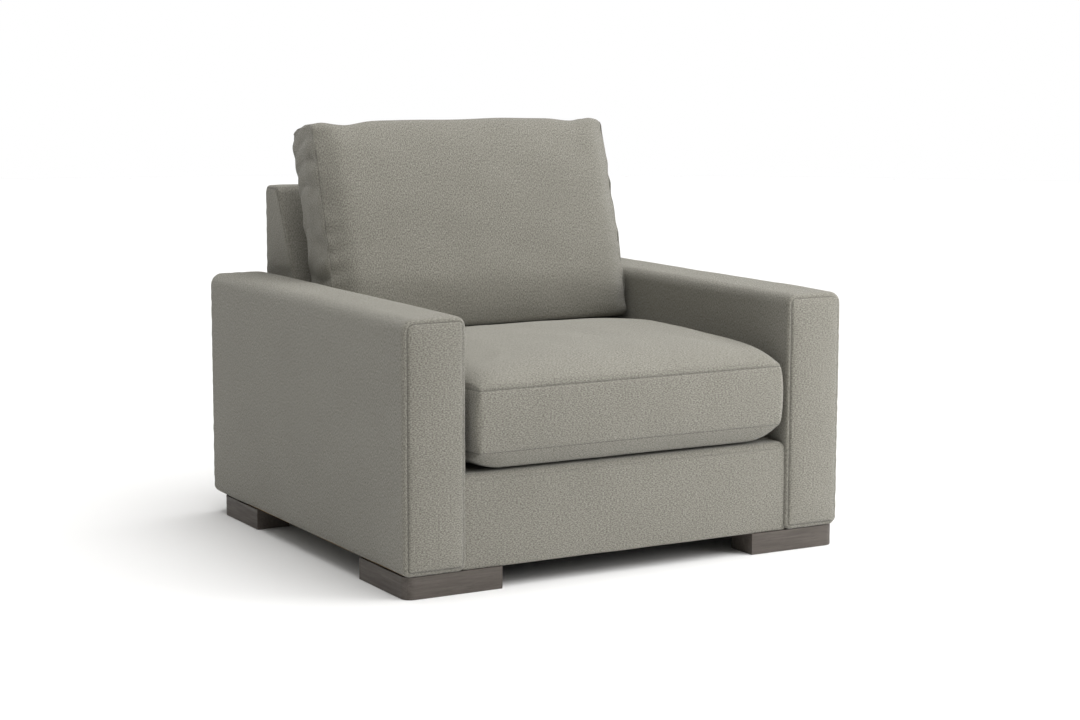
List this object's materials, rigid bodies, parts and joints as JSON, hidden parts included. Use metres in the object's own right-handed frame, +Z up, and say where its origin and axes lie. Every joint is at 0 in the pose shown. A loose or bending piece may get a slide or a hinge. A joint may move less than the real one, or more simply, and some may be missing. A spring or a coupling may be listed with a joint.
{
  "type": "upholstered armchair",
  "caption": "Block-arm upholstered armchair with a loose box seat cushion, a loose back cushion and low L-shaped wooden corner feet.",
  "frame": {"origin": "on the floor, under the middle of the bounding box", "axes": "+X to the right of somebody who faces the front of the chair, +Y to the rear, +Z up; the chair faces -Y"},
  "size_m": [1.1, 1.066, 0.948],
  "materials": {
    "cover_cloth": "matte",
    "deck_cloth": "matte",
    "dust_cloth": "matte",
    "foam": "matte",
    "fibre_fill": "matte",
    "felt": "matte",
    "webbing": "matte",
    "frame_wood": "matte",
    "foot_wood": "matte",
    "fibreboard": "matte",
    "spring_steel": "satin",
    "screw_steel": "satin",
    "zip_tape": "matte",
    "zip_metal": "satin"
  },
  "bodies": {
    "chair": {"arm_struts": "frame_wood", "back_border_cover": "cover_cloth", "back_inside_cover": "cover_cloth", "back_low_rail": "frame_wood", "back_outside_cover": "cover_cloth", "back_padding": "foam", "back_top_rail": "frame_wood", "back_webbing": "webbing", "corner_blocks": "frame_wood", "deck_cloth": "deck_cloth", "deck_pad": "felt", "dust_cover": "dust_cloth", "foot_glides": "felt", "foot_screws": "screw_steel", "front_rail": "frame_wood", "front_rail_cover": "cover_cloth", "front_rail_padding": "foam", "left_arm_front_cover": "cover_cloth", "left_arm_inside_cover": "cover_cloth", "left_arm_liner": "fibreboard", "left_arm_outside_cover": "cover_cloth", "left_arm_padding": "foam", "left_arm_rails": "frame_wood", "left_arm_top_board": "frame_wood", "left_arm_top_cover": "cover_cloth", "left_back_side": "frame_wood", "left_front_foot": "foot_wood", "left_front_post": "frame_wood", "left_rear_foot": "foot_wood", "left_rear_post": "frame_wood", "outside_back_liner": "fibreboard", "rear_rail": "frame_wood", "right_arm_front_cover": "cover_cloth", "right_arm_inside_cover": "cover_cloth", "right_arm_liner": "fibreboard", "right_arm_outside_cover": "cover_cloth", "right_arm_padding": "foam", "right_arm_rails": "frame_wood", "right_arm_top_board": "frame_wood", "right_arm_top_cover": "cover_cloth", "right_back_side": "frame_wood", "right_front_foot": "foot_wood", "right_front_post": "frame_wood", "right_rear_foot": "foot_wood", "right_rear_post": "frame_wood", "seat_springs": "spring_steel", "spring_clips": "spring_steel", "spring_rail": "frame_wood"},
    "seat_cushion": {"seat_cushion_cover": "cover_cloth", "seat_cushion_wrap": "fibre_fill", "seat_cushion_foam": "foam", "seat_zip_tape": "zip_tape"},
    "back_cushion": {"back_cushion_cover": "cover_cloth", "back_cushion_fill": "fibre_fill", "back_zip_tape": "zip_tape"},
    "seat_zip_slider": {"seat_zip_slider": "zip_metal"},
    "back_zip_slider": {"back_zip_slider": "zip_metal"}
  },
  "joints": [
    {"name": "seat_cushion_pull", "type": "slide", "parent": "chair", "child": "seat_cushion", "axis": [0, -1, 0], "range_m": [0, 0.8]},
    {"name": "back_cushion_lift", "type": "slide", "parent": "chair", "child": "back_cushion", "axis": [0, 0, 1], "range_m": [0, 0.45]},
    {"name": "seat_zip", "type": "slide", "parent": "seat_cushion", "child": "seat_zip_slider", "axis": [1, 0, 0], "range_m": [0, 0.61]},
    {"name": "back_zip", "type": "slide", "parent": "back_cushion", "child": "back_zip_slider", "axis": [1, 0, 0], "range_m": [0, 0.61]}
  ]
}
